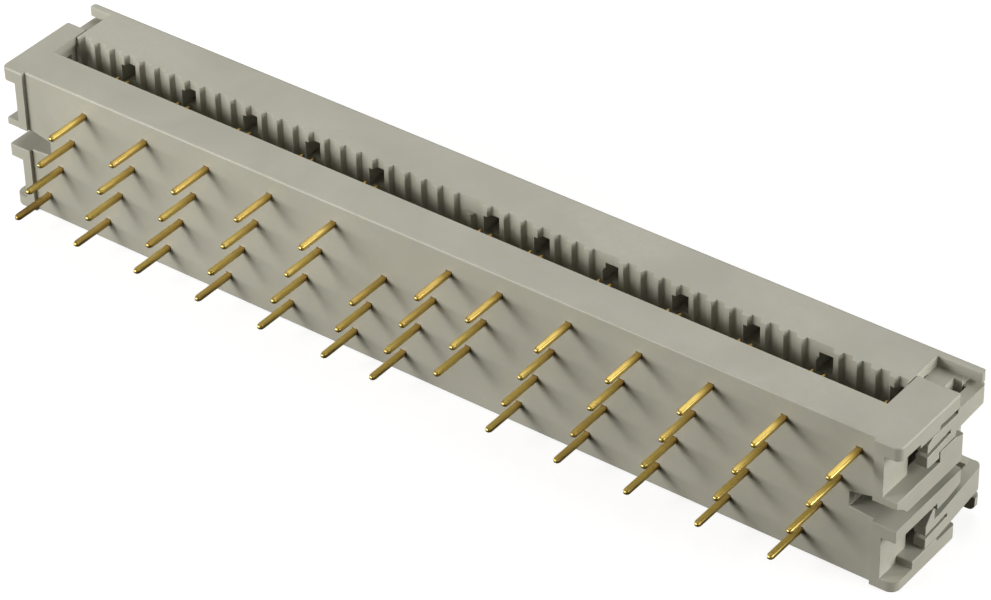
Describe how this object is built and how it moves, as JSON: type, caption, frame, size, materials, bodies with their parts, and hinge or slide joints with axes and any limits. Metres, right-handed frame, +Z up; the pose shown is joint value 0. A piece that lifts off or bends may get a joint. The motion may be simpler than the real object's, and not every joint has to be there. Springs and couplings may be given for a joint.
{
  "type": "pcb connector",
  "caption": "Long low ribbon-cable to circuit-board connector: moulded carrier with staggered rows of gold solder pins and a grooved clamp-on cover held open by end latches.",
  "frame": {"origin": "under the middle of the bounding box, on the surface the connector lies on", "axes": "+X along the connector, -Y the way the solder pins point, +Z up out of the cable slot"},
  "size_m": [0.068, 0.0122, 0.0107],
  "materials": {
    "housing": "satin moulded, warm grey",
    "cover": "satin moulded, warm grey",
    "contact_gold": "gold plated"
  },
  "bodies": {
    "carrier": {"contact_carrier": "housing", "contact_01": "contact_gold", "contact_02": "contact_gold", "contact_03": "contact_gold", "contact_04": "contact_gold", "contact_05": "contact_gold", "contact_06": "contact_gold", "contact_07": "contact_gold", "contact_08": "contact_gold", "contact_09": "contact_gold", "contact_10": "contact_gold", "contact_11": "contact_gold", "contact_12": "contact_gold", "contact_13": "contact_gold", "contact_14": "contact_gold", "contact_15": "contact_gold", "contact_16": "contact_gold", "contact_17": "contact_gold", "contact_18": "contact_gold", "contact_19": "contact_gold", "contact_20": "contact_gold", "contact_21": "contact_gold", "contact_22": "contact_gold", "contact_23": "contact_gold", "contact_24": "contact_gold", "contact_25": "contact_gold", "contact_26": "contact_gold", "contact_27": "contact_gold", "contact_28": "contact_gold", "contact_29": "contact_gold", "contact_30": "contact_gold", "contact_31": "contact_gold", "contact_32": "contact_gold", "contact_33": "contact_gold", "contact_34": "contact_gold", "contact_35": "contact_gold", "contact_36": "contact_gold", "contact_37": "contact_gold", "contact_38": "contact_gold", "contact_39": "contact_gold", "contact_40": "contact_gold", "contact_41": "contact_gold", "contact_42": "contact_gold", "contact_43": "contact_gold", "contact_44": "contact_gold", "contact_45": "contact_gold", "contact_46": "contact_gold", "contact_47": "contact_gold", "contact_48": "contact_gold", "contact_49": "contact_gold", "contact_50": "contact_gold"},
    "cover": {"cover": "cover"}
  },
  "joints": [
    {"name": "cover_press", "type": "slide", "parent": "carrier", "child": "cover", "axis": [0, -1, 0], "range_m": [0, 0.0017]}
  ]
}
